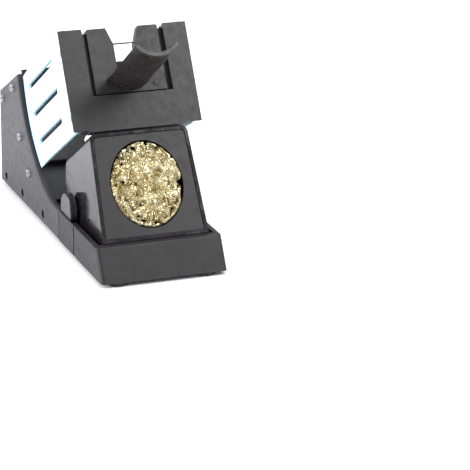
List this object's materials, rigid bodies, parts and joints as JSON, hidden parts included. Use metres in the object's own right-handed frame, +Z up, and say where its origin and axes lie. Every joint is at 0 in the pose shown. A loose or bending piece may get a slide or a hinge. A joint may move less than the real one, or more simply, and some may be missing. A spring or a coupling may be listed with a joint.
{
  "type": "soldering iron stand",
  "caption": "Bench stand for a soldering iron: weighted tray with cheek plates, tilting vented holder with a lift-out gutter rest, and a brass-wool tip cleaning box.",
  "frame": {"origin": "on the bench surface, under the middle of the stand's footprint", "axes": "+Z up, -Y towards the front with the cleaning box, +X to the right when facing the front"},
  "size_m": [0.0826, 0.219, 0.144],
  "materials": {
    "moulding": "fine-grained anthracite moulding",
    "inner_moulding": "dark moulding, plain",
    "cheek_plate": "fine-grained anthracite plate",
    "block": "satin anthracite moulding",
    "gutter": "satin heat-resistant moulding",
    "blue_panel": "pale sky blue moulding, semi-gloss",
    "gloss_box": "polished dark moulding",
    "cleaner_plate": "satin dark moulding",
    "brass_wool": "curly brass swarf",
    "knob": "satin thumb disc",
    "rubber": "black rubber",
    "steel_plate": "zinc-plated sheet",
    "zinc_steel": "zinc-plated",
    "bright_screws": "dark nickel-plated",
    "dark_screws": "blackened",
    "pin_steel": "drawn wire"
  },
  "bodies": {
    "base": {"base_tray": "moulding", "ballast_plate": "steel_plate", "ballast_screws": "dark_screws", "rubber_feet": "rubber", "left_cheek": "cheek_plate", "right_cheek": "cheek_plate", "cheek_screws": "bright_screws", "base_screws": "dark_screws", "arc_cradle": "inner_moulding", "cradle_flanges": "inner_moulding", "rear_cover": "moulding", "rear_screws": "bright_screws"},
    "holder": {"front_block": "block", "left_side_panel": "blue_panel", "right_side_panel": "blue_panel", "panel_screws": "bright_screws", "holder_rear_wall": "inner_moulding", "guide_bolts": "zinc_steel", "friction_washers": "rubber", "guide_nuts": "zinc_steel"},
    "rest": {"rest_plate": "block", "iron_gutter": "gutter", "rest_screws": "dark_screws", "cross_pin": "pin_steel"},
    "cleaner": {"cleaner_box": "gloss_box", "brass_wool": "brass_wool", "knob_studs": "zinc_steel"},
    "cleaner_plate": {"cleaner_front": "cleaner_plate"},
    "left_knob": {"left_knob": "knob"},
    "right_knob": {"right_knob": "knob"}
  },
  "joints": [
    {"name": "holder_tilt", "type": "hinge", "parent": "base", "child": "holder", "pos_m": [0, -0.0175, 0.108], "axis": [-1, 0, 0], "range_deg": [0, 12]},
    {"name": "rest_lift", "type": "slide", "parent": "holder", "child": "rest", "axis": [0, 0.5, 0.866], "range_m": [0, 0.03]},
    {"name": "cleaner_slide", "type": "slide", "parent": "base", "child": "cleaner", "axis": [0, -0.866, 0.5], "range_m": [0, 0.045]},
    {"name": "front_plate_pull", "type": "slide", "parent": "cleaner", "child": "cleaner_plate", "axis": [0, -0.866, 0.5], "range_m": [0, 0.012]},
    {"name": "left_knob_turn", "type": "hinge", "parent": "cleaner", "child": "left_knob", "pos_m": [-0.034, -0.0335, 0.0258], "axis": [1, 0, 0], "range_deg": [0, 180]},
    {"name": "right_knob_turn", "type": "hinge", "parent": "cleaner", "child": "right_knob", "pos_m": [0.034, -0.0335, 0.0258], "axis": [1, 0, 0], "range_deg": [-180, 0]}
  ]
}
